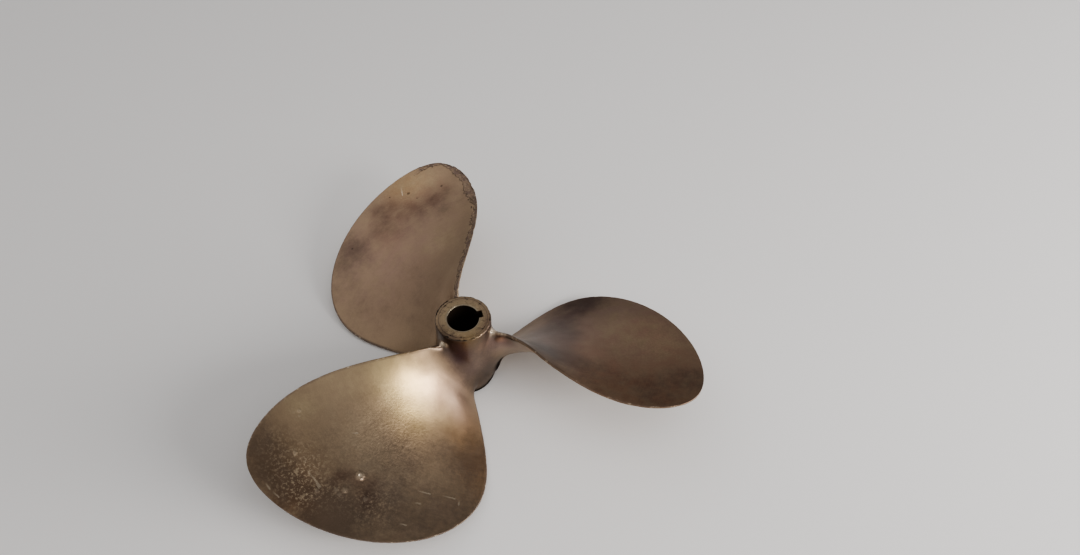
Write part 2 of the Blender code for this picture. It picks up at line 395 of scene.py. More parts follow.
PAINTED_HIGHLIGHTS = (
    (-150.5, 0.0276, 0.0325, 0.0021, 1.00), (-142.0, 0.0265, 0.0333, 0.0022, 1.00),
    (-30.5, 0.0280, 0.0320, 0.0038, 1.10), (-24.0, 0.0322, 0.0284, 0.0024, 1.00),
    (-34.6, 0.0345, 0.0330, 0.0016, 0.90), (-35.8, 0.0380, 0.0341, 0.0015, 0.85),
    (-36.6, 0.0412, 0.0351, 0.0014, 0.70), (91.0, 0.0283, 0.0315, 0.0020, 0.90),
)

# Where the casting swells under a root, and where roots stand higher, with a height as the amount
SWOLLEN = (
    (-20, 0.0270, -0.0320, 0.0100, 0.0036),
)
RAISED = (
    (-33, 0.0450, 0.0300, 0.0160, 0.0042),
    (-43, 0.0660, 0.0380, 0.0180, 0.0038),
    (-154, 0.0450, 0.0320, 0.0160, 0.0022),
    (86, 0.0450, 0.0320, 0.0160, 0.0022),
)

# Small lumps and dents as (blade, fraction, place, reach, height, depth of the dip on top)
LUMPS = (
    (2, 0.716, -0.034, 0.0050, 0.00080, 0.00085),
    (2, 0.793, 0.030, 0.0036, 0.00035, 0.0),
    (2, 0.812, 0.000, 0.0030, 0.00020, 0.0),
    (2, 0.818, 0.062, 0.0026, 0.00018, 0.0),
    (2, 0.776, 0.200, 0.0030, 0.00015, 0.0),
    (2, 0.730, -0.828, 0.0026, 0.00020, 0.0),
    (2, 0.738, -0.790, 0.0018, 0.00012, 0.0),
    (2, 0.860, -0.040, 0.0028, 0.00020, 0.0),
    (2, 0.825, -0.520, 0.0026, 0.00020, 0.0),
    (1, 0.844, -0.648, 0.0017, -0.0004, 0.0),
    (1, 0.884, -0.142, 0.0019, -0.0006, 0.0),
    (1, 0.834, -0.304, 0.0012, -0.0003, 0.0),
    (1, 0.919, 0.285, 0.0011, -0.0003, 0.0),
    (1, 0.813, 0.657, 0.0012, -0.0003, 0.0),
)

# Scratches as (blade, fraction, place, fraction, place), from start to end
SCRATCHES = (
    (2, 0.617, -0.400, 0.602, -0.370),
    (2, 0.654, 0.420, 0.648, 0.530),
    (2, 0.640, 0.640, 0.640, 0.760),
    (2, 0.645, 0.810, 0.662, 0.830),
    (2, 0.800, 0.640, 0.796, 0.690),
    (2, 0.702, 0.490, 0.698, 0.535),
    (2, 0.832, -0.300, 0.841, -0.080),
    (2, 0.836, -0.190, 0.848, -0.070),
    (2, 0.972, -0.240, 0.974, -0.060),
    (2, 0.972, 0.020, 0.970, 0.170),
    (1, 0.935, 0.116, 0.891, -0.034),
)

# Noises of the finish as (size in metres, detail, roughness)
NOISES = {
    "broad": (0.0900, 3.0, 0.55),
    "patches": (0.0240, 5.0, 0.62),
    "flecks": (0.0048, 4.0, 0.65),
    "speckle": (0.0021, 2.0, 0.60),
    "grain": (0.0011, 2.0, 0.60),
    "pebbles": (0.0024, 3.0, 0.70),
    "blotches": (0.0060, 2.0, 0.60),
    "bloom": (0.0036, 2.0, 0.60),
}

# Sanding streaks, as noise steps per metre out from the hub and along the chord, and for each shift
STREAK_RATES = (900.0, 28.0, 1.0)
STREAK_DETAIL = 3.0

# Layers of the finish mixed by weight; the layer "one" is 1 everywhere
MOTTLING = {"broad": 0.70, "patches": 0.50, "flecks": 0.30, "streaks": 0.10, "one": -0.80}
PEBBLED = {"pebbles": 0.80, "flecks": 0.20}
RAGGED = {"patches": 0.0240, "flecks": 0.0080, "strip_inset": 1.0}
SHADE = {"grain": 0.20, "streaks": 0.06, "grains": 0.60, "turning": 0.50, "one": 0.87}
ROUGHNESS = {"patches": -0.14, "streaks": 0.04, "flecks": 0.10, "dark": 0.15, "bright": -0.12, "one": 0.35}
METALLIC = {"dirt": -0.85, "polish": -0.50, "one": 0.94}
SPECULAR = {"dark": -0.50, "one": 0.50}

# Bump heights of the layers in metres
BUMP = {
    "streaks": 0.000003, "grain": 0.00002, "flecks": 0.00004, "patches": 0.00008, "fleck": 0.00004,
    "grains": 0.00016, "scratch": -0.00004, "crack": -0.00010, "ring_dark": -0.00012, "turning": 0.00004,
    "eroded": -0.00010, "polish": 0.0010,
}

# The plain tone, and its steps from brown to bronze to gold; a step's own values follow its start and end
TONE_LEVEL = 0.45
TO_BRONZE = (0.0, 0.55)
TO_GOLD = (0.50, 1.15)

# Pale flecks of bared metal
FLECK_STEP = (0.49, 0.66)
FLECK_SHARE = 0.70

# The flaked strip's border, grey blotches, pale specks, and the crack along it as (middle, reach, darkness)
ERODED_STEP = (0.0226, 0.0210)
BLOTCH_STEP = (0.42, 0.56, 0.30, 0.85)
PALE_STEP = (0.52, 0.66, 0.0, 0.60)
CRACK = (0.0222, 0.0009, 0.65)

# The aft ring, from just under its face and out past its edge, and how much flecks push its lines about
RING_DROPS = (0.0009, 0.0004)
RING_MARGINS = (0.0010, 0.0002)
RING_WOBBLE = 0.0030

# Fine turning lines on the aft ring: noise steps per metre, their drift and their detail
TURNING_RATE = 1300.0
TURNING_DRIFT = 2.0
TURNING_DETAIL = 2.0

# Dark lines and the gold band on the aft ring, and the bore's pale rim, as (radius, reach, share)
RING_LINES = ((0.0243, 0.0008, 0.55), (0.0273, 0.0009, 0.75))
RING_GOLD = (0.0195, 0.0045, 0.35)
BORE_RIM = (0.0168, 0.0014, 0.50)
BORE_RIM_DROP = 0.0020

# Dark specks, gaps in the darkness, and gold bloom on the aft ring
RING_SPECK_STEP = (0.51, 0.64, 0.0, 0.55)
RING_GAP_STEP = (0.34, 0.56, 0.35, 1.0)
RING_BLOOM_STEP = (0.56, 0.66, 0.0, 0.30)

# Share of a band's reach over which it keeps its full amount
BAND_CORE = 0.2

# Ragged outlines of the lumps and scratches as (amount, size, detail)
WAVY = (0.0006, 0.0020, 2.0)

# How dark dents and dips are, how bright plain lumps are, and the shares of a reach where a dip darkens
DENT_DARKNESS = 0.6
DIP_DARKNESS = 0.9
PLAIN_LUMP_SHARE = 0.5
DIP_SHARES = (0.50, 0.05)

# Scratches: how far their sides reach, and how they gain from start to end
SCRATCH_REACH = (0.0010, 0.0002)
SCRATCH_GAIN = (-0.3, 0.9)

# Gaps in the rims' browning, how much of it dulls the metal as dirt and painted shade, and bare metal worn
# bright along the rims
EDGE_GAP_STEP = (0.38, 0.55, 0.50, 1.0)
EDGE_DIRT_AND_SHADE = 0.6
WEAR_REACH = (0.0008, 0.0001)
WEAR_STEP = (0.56, 0.68, 0.0, 0.45)

# How bright lumps and scratches show
LUMP_SHINE = 0.35
SCRATCH_SHINE = 0.65


def law(stations, at):
    """Values at fractions of the tip radius, on the one polynomial that passes through every station."""
    result = 0.0
    for place, value in stations:
        weight = 1.0
        for other, _ in stations:
            if other != place:
                weight = weight * (at - other) / (place - other)
        result = result + weight * value
    return result


def fillet_width(radius, fillet):
    """Width that a round fillet adds at a distance from the hub's side."""
    gap = np.clip(radius - HUB_RADIUS, 0.0, fillet)
    return fillet - np.sqrt(fillet ** 2 - (fillet - gap) ** 2)


def section_facts(radius):
    """Pitch angle, middle of the chord, half chord, mid and edge thickness of a blade's section."""
    fraction = np.minimum(radius / TIP_RADIUS, 1.0)
    pitch_angle = np.arctan(law(PITCHES, fraction) / (2 * pi * radius))
    middle = -law(SKEWS, fraction)
    mid_thickness = AXIS_THICKNESS + (TIP_THICKNESS - AXIS_THICKNESS) * fraction
    edge_thickness = EDGE_THICKNESS + (ROOT_EDGE_THICKNESS - EDGE_THICKNESS) * (1 - fraction) ** 4
    half = law(CHORDS, fraction) * np.sqrt(1 - fraction ** 2) / 2 - edge_thickness / 2
    return pitch_angle, middle, half, mid_thickness, edge_thickness


def blade_points(number, radius, place, depth=0.0, bulge=0.0):
    """Surface points of a blade: place -1 trailing to 1 leading edge, depth 0 face to 1 back."""
    radius = np.asarray(radius, float)
    pitch_angle, middle, half, mid_thickness, edge_thickness = section_facts(radius)
    thickness = edge_thickness + (mid_thickness - edge_thickness) * (1 - place ** 2)
    along = middle + half * place + bulge * edge_thickness / 2
    along = along - fillet_width(radius, TRAILING_FILLET) * np.minimum(place, 0.0) ** 2
    widening = fillet_width(radius, ROOT_FILLET) * np.sqrt(1 - place ** 2)
    below = depth * thickness + (2 * depth - 1) * widening
    turn = (along * np.cos(pitch_angle) - below * np.sin(pitch_angle)) / radius + number * 2 * pi / BLADES
    rake = -law(RAKES, radius / TIP_RADIUS)
    height = BLADE_Z + rake - along * np.sin(pitch_angle) - below * np.cos(pitch_angle)
    return np.stack([radius * np.cos(turn), radius * np.sin(turn), height], axis=-1)


def section_loop():
    """Places, depths and edge bulges of the points round a blade section, closest together at the edges."""
    face = np.sin(np.linspace(-pi / 2, pi / 2, CHORD_STEPS + 1))
    bend = np.linspace(0, pi, EDGE_STEPS + 2)[1:-1]
    flat = np.zeros_like(face)
    tip = np.ones_like(bend)
    place = np.concatenate([face, tip, face[::-1], -tip])
    depth = np.concatenate([flat, (1 - np.cos(bend)) / 2, flat + 1, (1 + np.cos(bend)) / 2])
    bulge = np.concatenate([flat, np.sin(bend), flat, -np.sin(bend)])
    return place, depth, bulge


def blade_radii():
    """Radii of the blade's sections, close together in the fillet and towards the tip."""
    rise = 1 - np.cos(np.linspace(0, pi / 2, FILLET_STEPS + 1))
    fillet = HUB_RADIUS - FIRST_INSET + ROOT_FILLET * rise[:-1] * FILLET_STRETCH
    start = HUB_RADIUS + ROOT_FILLET
    steps = np.append(np.arange(SPAN_STEPS), SPAN_STEPS - LAST_STEP)
    span = start + (TIP_RADIUS - start) * np.sin(steps / SPAN_STEPS * pi / 2)
    return np.concatenate([[HUB_RADIUS - ROOT_DEPTH], fillet, span])


def blade(number):
    """One blade as a closed body: sections joined in rings, a cap in the hub and a point at the tip."""
    place, depth, bulge = section_loop()
    radii = blade_radii()
    rings = blade_points(number, radii[:, None], place[None, :], depth[None, :], bulge[None, :])
    tip = blade_points(number, TIP_RADIUS - TIP_INSET, 0.0, 0.5)
    around = len(place)
    points = np.concatenate([rings.reshape(-1, 3), tip[None, :]])
    i = np.arange(around)
    j = (i + 1) % around
    faces = []
    for row in range(len(radii) - 1):
        faces.extend(np.stack([i, j, j + around, i + around], axis=1) + row * around)
    faces = [tuple(int(v) for v in face) for face in faces]
    faces.append(tuple(range(around - 1, -1, -1)))
    last = (len(radii) - 1) * around
    faces.extend((last + a, last + (a + 1) % around, len(points) - 1) for a in range(around))
    return solid(f"blade_{number}", points, faces)


def rounded(corners, roundings):
    """A closed profile through (radius, height) corners, with an arc at each and close points between."""
    corners = np.array(corners)
    steps = np.linspace(0, 1, ARC_STEPS + 1)
    runs = []
    for i, rounding in enumerate(roundings):
        here = corners[i]
        before = corners[i - 1] - here
        after = corners[(i + 1) % len(corners)] - here
        start = here + before / np.linalg.norm(before) * rounding
        end = here + after / np.linalg.norm(after) * rounding
        runs.append([(1 - t) ** 2 * start + 2 * t * (1 - t) * here + t ** 2 * end for t in steps])
    profile = []
    for run, following in zip(runs, runs[1:] + runs[:1]):
        profile.extend(run)
        gap = following[0] - run[-1]
        pieces = int(np.linalg.norm(gap) / HUB_SPACING) + 1
        profile.extend(run[-1] + gap * k / pieces for k in range(1, pieces))
    return np.array(profile)


def bore_radius(z):
    """Radius of the taper bore at a height."""
    return BORE_AFT_RADIUS + (AFT_Z - z) * BORE_TAPER_RATIO / 2


def hub():
    """The hub as a turned ring with its taper bore, and its corners worn round."""
    corners = (
        (BORE_AFT_RADIUS, AFT_Z),
        (HUB_RADIUS - AFT_CHAMFER, AFT_Z),
        (HUB_RADIUS, AFT_Z - AFT_CHAMFER),
        (HUB_RADIUS, FORWARD_Z + FORWARD_CHAMFER),
        (HUB_RADIUS - FORWARD_CHAMFER, FORWARD_Z),
        (bore_radius(FORWARD_Z), FORWARD_Z),
    )
    profile = rounded(corners, ROUNDINGS)
    size = len(profile)
    turn = np.arange(ROUND_STEPS)[:, None] * 2 * pi / ROUND_STEPS
    radius, height = profile.T
    heights = np.broadcast_to(height, (ROUND_STEPS, size))
    points = np.stack([radius * np.cos(turn), radius * np.sin(turn), heights], axis=-1).reshape(-1, 3)
    faces = []
    for a in range(ROUND_STEPS):
        b = (a + 1) % ROUND_STEPS
        for k in range(size):
            m = (k + 1) % size
            faces.append((a * size + k, a * size + m, b * size + m, b * size + k))
    return solid("propeller_casting", points, faces)


def keyway():
    """The cutter for the keyway, whose floor keeps the key's depth outside the tapered bore."""
    points = []
    for z in (AFT_Z + CUTTER_MARGIN, FORWARD_Z - CUTTER_MARGIN):
        for x in (CUTTER_START, bore_radius(z) + KEY_DEPTH):
            points.extend((x, y, z) for y in (-KEY_WIDTH / 2, KEY_WIDTH / 2))
    faces = ((0, 1, 3, 2), (4, 6, 7, 5), (0, 2, 6, 4), (1, 5, 7, 3), (2, 3, 7, 6), (0, 4, 5, 1))
    return solid("keyway", points, faces)


def solid(name, points, faces):
    """A new object from points and faces, with its faces pointing out."""
    mesh = bpy.data.meshes.new(name)
    mesh.from_pydata([tuple(p) for p in points], [], faces)
    item = bpy.data.objects.new(name, mesh)
    bpy.context.scene.collection.objects.link(item)
    bpy.context.view_layer.objects.active = item
    bpy.ops.object.mode_set(mode="EDIT")
    bpy.ops.mesh.select_all(action="SELECT")
    bpy.ops.mesh.normals_make_consistent(inside=False)
    bpy.ops.object.mode_set(mode="OBJECT")
    return item


def combine(body, other, operation):
    """Joins the other body to this one, or cuts it away, and removes the other."""
    step = body.modifiers.new(other.name, "BOOLEAN")
    step.object = other
    step.operation = operation
    step.solver = "EXACT"
    bpy.context.view_layer.objects.active = body
    bpy.ops.object.modifier_apply(modifier=step.name)
    bpy.data.objects.remove(other)


def casting():
    """The whole casting as one mesh."""
    body = hub()
    for number in range(BLADES):
        combine(body, blade(number), "UNION")
    combine(body, keyway(), "DIFFERENCE")
    return body


def blade_places(points):
    """For each point: blade, radius, distance along the chord, place, depth, distance in from the rim."""
    radius = np.hypot(points[:, 0], points[:, 1])
    angle = np.arctan2(points[:, 1], points[:, 0])
    on_blade = np.clip(radius, HUB_RADIUS, TIP_RADIUS)
    pitch_angle, middle, half, mid_thickness, edge_thickness = section_facts(on_blade)
    half = np.maximum(half, SHORTEST_HALF_CHORD)
    drop = BLADE_Z - law(RAKES, radius / TIP_RADIUS) - points[:, 2]
    best = None
    for number in range(BLADES):
        turn = (angle - number * 2 * pi / BLADES + pi) % (2 * pi) - pi
        along = turn * radius * np.cos(pitch_angle) + drop * np.sin(pitch_angle)
        below = drop * np.cos(pitch_angle) - turn * radius * np.sin(pitch_angle)
        place = (along - middle) / half
        thickness = edge_thickness + (mid_thickness - edge_thickness) * np.clip(1 - place ** 2, 0, 1)
        past_edge = np.clip(np.abs(place) - OVERRUN, 0, None) * half
        miss = np.abs(below - thickness / 2) + OVERRUN_COST * past_edge
        facts = np.stack([np.full_like(radius, number), radius, along, place, below / thickness, miss])
        best = facts if best is None else np.where(miss < best[5], facts, best)
    rim = np.minimum((1 - np.abs(best[3])) * half, TIP_RADIUS - radius)
    return best[0], radius, best[2], np.clip(best[3], -1, 1), np.clip(best[4], 0, 1), np.maximum(rim, 0)


def smooth_step(low, high, value):
    """0 below low, 1 above high, and smooth between. With low above high it falls instead."""
    share = np.clip((value - low) / (high - low), 0, 1)
    return share * share * (3 - 2 * share)


def marks(points, number, face, places):
    """Total of soft round marks on the blades, weighted by how far each point is on the face."""
    result = np.zeros(len(points))
    for blade_number, fraction, place, spread, amount in places:
        centre = blade_points(blade_number, fraction * TIP_RADIUS, place)
        away = np.linalg.norm(points - centre, axis=1)
        result += amount * np.exp(-(away / spread) ** 2) * (number == blade_number) * face
    return result


def near_hub(points, places):
    """Total of soft round marks on and near the hub."""
    result = np.zeros(len(points))
    for azimuth, radius, height, spread, amount in places:
        centre = (radius * cos(radians(azimuth)), radius * sin(radians(azimuth)), height)
        result += amount * np.exp(-(np.linalg.norm(points - centre, axis=1) / spread) ** 2)
    return result


def wave(points, size, octaves=2):
    """Smooth noise from about -1 to 1, with swells of the given size."""
    return np.array([noise.fractal(Vector(p) / size, *WAVE_OCTAVES, octaves) for p in points])


def hollows(points, depth, size, level, octaves):
    """How deep scattered hollows are at each point, where smooth noise rises above a level."""
    return depth * np.clip(wave(points, size, octaves) - level, 0, 1)


def refine(item):
    """Adds points round the small lumps and dents, so that they can be shaped."""
    mesh = bmesh.new()
    mesh.from_mesh(item.data)
    for blade_number, fraction, place, reach, _, _ in LUMPS:
        centre = Vector(blade_points(blade_number, fraction * TIP_RADIUS, place))
        near = [edge for edge in mesh.edges if (edge.verts[0].co - centre).length < reach + LUMP_MARGIN]
        near = [edge for edge in near if edge.calc_length() > UNCUT_LENGTH]
        bmesh.ops.subdivide_edges(mesh, edges=near, cuts=LUMP_CUTS, use_grid_fill=True)
    mesh.to_mesh(item.data)
    mesh.free()


def lump_heights(points):
    """How far the small lumps and dents lift each point, with uneven outlines."""
    amount, size = LUMP_UNEVENNESS
    uneven = amount * wave(points, size)
    height = np.zeros(len(points))
    for blade_number, fraction, place, reach, rise, dip in LUMPS:
        centre = blade_points(blade_number, fraction * TIP_RADIUS, place)
        away = np.linalg.norm(points - centre, axis=1) + uneven
        height += rise * smooth_step(reach, LUMP_TOP * reach, away)
        height -= dip * smooth_step(DIP_REACH * reach, 0.0, away)
    return height


def unevenness(points, radius, rim, off_hub, face, worn_trailing):
    """How far the hand-worked and worn surface stands proud of the plain shape at each point."""
    swell = sum(height * wave(points, size) for height, size in SWELLS)
    swell *= (SWELL_ON_HUB + (1 - SWELL_ON_HUB) * off_hub) * smooth_step(*SWELL_RIM, rim)
    chips = hollows(points, *WORN_CHIPS) * worn_trailing + hollows(points, *FINE_CHIPS)
    chips *= smooth_step(*CHIP_REACH, rim) * off_hub
    wander, size = LEDGE_WANDER
    ledge = LEDGE_DEPTH * smooth_step(*LEDGE_REACH, rim + wander * wave(points, size))
    ledge *= worn_trailing * face
    aft_edge = np.hypot(radius - HUB_RADIUS, points[:, 2] - AFT_Z)
    dings = hollows(points, *DINGS) * smooth_step(*DING_REACH, aft_edge)
    return swell + near_hub(points, SWOLLEN) + lump_heights(points) * face - chips - ledge - dings


def tints(points, number, face, radius):
    """The colour that multiplies the bronze at each point: broad marks, mottled away from the hub; some
    marks are painted shade, painted dark reflection and painted highlight.
    """
    amount, size, octaves = TINT_MOTTLING
    mottling = amount * wave(points, size, octaves) * smooth_step(*TINT_RADII, radius)
    mottling = np.clip(TINT_LEVEL + mottling, *TINT_LIMITS)
    tint = np.ones((len(points), 3))
    for color, places in TINTED:
        for mark in places:
            share = np.clip(marks(points, number, face, (mark,)) * mottling, 0, 1)
            tint *= 1 + share[:, None] * (np.array(color) - 1)
    for color, places in HUB_TINTED:
        for mark in places:
            tint *= 1 + near_hub(points, (mark,))[:, None] * (np.array(color) - 1)
    return tint


def vertex_values(collection, name):
    """One vector for each point of a mesh, as an array."""
    values = np.empty(len(collection) * 3)
    collection.foreach_get(name, values)
    return values.reshape(-1, 3)


def carry(mesh, name, values):
    """Stores a number or a vector for each point on the mesh, under a name that the material reads."""
    kind, field = ("FLOAT", "value") if values.ndim == 1 else ("FLOAT_VECTOR", "vector")
    mesh.attributes.new(name, kind, "POINT").data.foreach_set(field, values.astype(np.float32).ravel())


def weather(item):
    """Gives the casting its hand-worked and worn surface, and what its material reads at each point."""
    mesh = item.data
    points = vertex_values(mesh.vertices, "co")
    normals = vertex_values(mesh.vertex_normals, "vector")
    number, radius, along, place, depth, rim = blade_places(points)
    fraction = radius / TIP_RADIUS
    off_hub = smooth_step(*OFF_HUB, radius - HUB_RADIUS)
    face = smooth_step(*FACE_DEPTHS, depth) * off_hub
    side_wall = smooth_step(*SIDE_WALL, radius - HUB_RADIUS) * (points[:, 2] < AFT_Z - WALL_DROP)
    worn_trailing = (number == WORN_BLADE) * smooth_step(*WORN_PLACES, place)

    points += normals * unevenness(points, radius, rim, off_hub, face, worn_trailing)[:, None]
    shape = points.copy()
    shape[:, 2] += near_hub(points, RAISED)
    mesh.vertices.foreach_set("co", np.clip(shape, *CAD_BOX).ravel())

    # Painted contact shadow round the hub's foot
    foot_shadow = smooth_step(FORWARD_Z + FOOT_SHADOW_HEIGHT, FORWARD_Z + FORWARD_CHAMFER, points[:, 2])
    foot_shadow *= smooth_step(FOOT_SHADOW_REACH, 0.0, radius - HUB_RADIUS)
    tone = marks(points, number, face, GOLD_AND_HIGHLIGHT) - marks(points, number, face, BROWN_AND_SHADE)
    side = np.where(depth > 0.5, BACK_SHIFT, 0.0) + BLADE_SHIFT * number
    # The side wall's tone is lowered as painted shade
    carry(mesh, "tone", tone - WALL_SHADE * side_wall)
    carry(mesh, "flecked", marks(points, number, face, FLECKED))
    carry(mesh, "grainy", marks(points, number, face, GRAINY) + WALL_GRAIN * side_wall)
    carry(mesh, "calm", np.clip(marks(points, number, face, CALM), 0, CALMEST))
    carry(mesh, "rim", rim + (1 - off_hub) * RIM_ON_HUB)
    edge_share = np.interp(place, EDGE_PLACES, EDGE_SHARES)
    carry(mesh, "edge", smooth_step(*EDGE_REACH, rim) * off_hub * edge_share)
    carry(mesh, "worn_strip", smooth_step(*STRIP_REACH, rim) * worn_trailing * face)
    carry(mesh, "strip_inset", rim + np.interp(fraction, INSET_FRACTIONS, STRIP_INSETS))
    # Small painted highlights at the blades' roots
    carry(mesh, "polish", near_hub(points, PAINTED_HIGHLIGHTS))
    # Painted shadow round the hub's foot and painted shade along blade 0's root
    carry(mesh, "painted_shade", np.clip(foot_shadow + near_hub(points, PAINTED_SHADOWS), 0, 1))
    carry(mesh, "flow", np.stack([radius, along, side], axis=1))
    carry(mesh, "tint", tints(points, number, face, radius))


def node(tree, kind, values=None, **settings):
    """A new shader node with its settings, and its inputs set or linked."""
    made = tree.nodes.new("ShaderNode" + kind)
    for name, value in settings.items():
        setattr(made, name, value)
    for key, value in (values or {}).items():
        if isinstance(value, bpy.types.NodeSocket):
            tree.links.new(value, made.inputs[key])
        else:
            made.inputs[key].default_value = value
    return made


def maths(tree, operation, *terms, clamp=False):
    """The result of a maths node on numbers or sockets."""
    return node(tree, "Math", dict(enumerate(terms)), operation=operation, use_clamp=clamp).outputs[0]


def vector_maths(tree, operation, first, second):
    """The result of a vector maths node: a vector, or a number for a dot product or a distance."""
    key = "Scale" if operation == "SCALE" else 1
    made = node(tree, "VectorMath", {0: first, key: second}, operation=operation)
    return made.outputs["Value" if operation in ("DOT_PRODUCT", "DISTANCE") else "Vector"]


def product(tree, *factors):
    """The product of several values."""
    result = factors[0]
    for factor in factors[1:]:
        result = maths(tree, "MULTIPLY", result, factor)
    return result


def highest(tree, *values):
    """The highest of several values."""
    result = values[0]
    for value in values[1:]:
        result = maths(tree, "MAXIMUM", result, value)
    return result


def total(tree, *terms):
    """The sum of several (value, weight) terms."""
    result = 0.0
    for value, weight in terms:
        result = maths(tree, "MULTIPLY_ADD", value, weight, result)
    return result


def mixed(tree, layers, weights):
    """The sum of the named layers, each times its weight."""
    return total(tree, *((layers[name], weight) for name, weight in weights.items()))


def step_up(tree, value, low, high, bottom=0.0, top=1.0):
    """A smooth step of a value from low to high, from bottom to top."""
    inputs = {"Value": value, "From Min": low, "From Max": high, "To Min": bottom, "To Max": top}
    return node(tree, "MapRange", inputs, interpolation_type="SMOOTHSTEP").outputs[0]


def near_band(tree, value, middle, reach, share=1.0):
    """The share where a value is at the middle of a band, falling to 0 at its reach."""
    away = maths(tree, "ABSOLUTE", maths(tree, "SUBTRACT", value, middle))
    return step_up(tree, away, reach, BAND_CORE * reach, 0.0, share)


def blended(tree, share, under, over):
    """Two colours mixed by a share."""
    return node(tree, "Mix", {0: share, 6: under, 7: over}, data_type="RGBA", clamp_factor=True).outputs[2]


def clouds(tree, place, size, detail, roughness):
    """Noise from 0 to 1 with clouds of a size in metres."""
    inputs = {"Vector": place, "Scale": 1 / size, "Detail": detail, "Roughness": roughness}
    return node(tree, "TexNoise", inputs).outputs[0]


def wavy(tree, place):
    """Places pushed about by fine noise, so that marks get ragged outlines."""
    amount, size, detail = WAVY
    push = node(tree, "TexNoise", {"Vector": place, "Scale": 1 / size, "Detail": detail}).outputs["Color"]
    push = vector_maths(tree, "SUBTRACT", push, (0.5, 0.5, 0.5))
    return vector_maths(tree, "ADD", place, vector_maths(tree, "SCALE", push, 2 * amount))


def carried(tree, name, output="Fac"):
    """What the mesh carries at its points under a name."""
    return node(tree, "Attribute", attribute_name=name).outputs[output]


def streaks(tree):
    """Sanding streaks along the blades, as noise from 0 to 1."""
    flow = vector_maths(tree, "MULTIPLY", carried(tree, "flow", "Vector"), STREAK_RATES)
    return node(tree, "TexNoise", {"Vector": flow, "Scale": 1.0, "Detail": STREAK_DETAIL}).outputs[0]


def lumps_and_dents(tree, place):
    """How bright the small lumps are, and how dark the dips and dents."""
    bright, dark = 0.0, 0.0
    for blade_number, fraction, at, reach, rise, dip in LUMPS:
        centre = blade_points(blade_number, fraction * TIP_RADIUS, at)
        away = vector_maths(tree, "DISTANCE", place, centre)
        mound = step_up(tree, away, reach, LUMP_TOP * reach)
        if rise < 0:
            dark = highest(tree, dark, product(tree, mound, DENT_DARKNESS))
        elif dip:
            bright = highest(tree, bright, mound)
            outer, inner = DIP_SHARES
            dark = highest(tree, dark, step_up(tree, away, outer * reach, inner * reach, 0.0, DIP_DARKNESS))
        else:
            bright = highest(tree, bright, product(tree, mound, PLAIN_LUMP_SHARE))
    return bright, dark


def scratches(tree, place):
    """How deep in a scratch each place is: each scratch is faint at its start and clear at its end."""
    result = 0.0
    for blade_number, fraction, at, end_fraction, end_at in SCRATCHES:
        start = Vector(blade_points(blade_number, fraction * TIP_RADIUS, at))
        run = Vector(blade_points(blade_number, end_fraction * TIP_RADIUS, end_at)) - start
        from_start = vector_maths(tree, "SUBTRACT", place, start)
        reached = vector_maths(tree, "DOT_PRODUCT", from_start, run / run.length_squared)
        reached = maths(tree, "MULTIPLY", reached, 1.0, clamp=True)
        away = vector_maths(tree, "DISTANCE", from_start, vector_maths(tree, "SCALE", run, reached))
        line = product(tree, step_up(tree, away, *SCRATCH_REACH), step_up(tree, reached, *SCRATCH_GAIN))
        result = highest(tree, result, line)
    return result


def base_color(tree, layers):
    """The bronze's colour before its small marks: brown, bronze and gold in soft patches, then tinted."""
    mottling = mixed(tree, layers, MOTTLING)
    calmed = product(tree, mottling, carried(tree, "calm"))
    tone = total(tree, (carried(tree, "tone"), 1.0), (mottling, 1.0), (calmed, -1.0), (1.0, TONE_LEVEL))
    color = blended(tree, step_up(tree, tone, *TO_BRONZE), BROWN, BRONZE)
    color = blended(tree, step_up(tree, tone, *TO_GOLD), color, GOLD)
    return vector_maths(tree, "MULTIPLY", color, carried(tree, "tint", "Vector"))


def with_flecks(tree, layers, color):
    """The colour with pale flecks of bared metal."""
    fleck = step_up(tree, mixed(tree, layers, PEBBLED), *FLECK_STEP)
    layers["fleck"] = product(tree, fleck, carried(tree, "flecked"))
    return blended(tree, product(tree, layers["fleck"], FLECK_SHARE), color, FLECK)


def with_worn_strip(tree, layers, color):
    """The colour with the flaked strip along the worn trailing edge, and the crack along its border."""
    strip = carried(tree, "worn_strip")
    layers["strip_inset"] = carried(tree, "strip_inset")
    ragged = mixed(tree, layers, RAGGED)
    eroded = product(tree, step_up(tree, ragged, *ERODED_STEP), strip)
    layers["eroded"] = eroded
    layers["crack"] = product(tree, near_band(tree, ragged, *CRACK), strip)
    grey = product(tree, eroded, step_up(tree, layers["blotches"], *BLOTCH_STEP))
    pale = product(tree, eroded, step_up(tree, layers["speckle"], *PALE_STEP))
    return blended(tree, pale, blended(tree, grey, color, GREYED), FLECK)


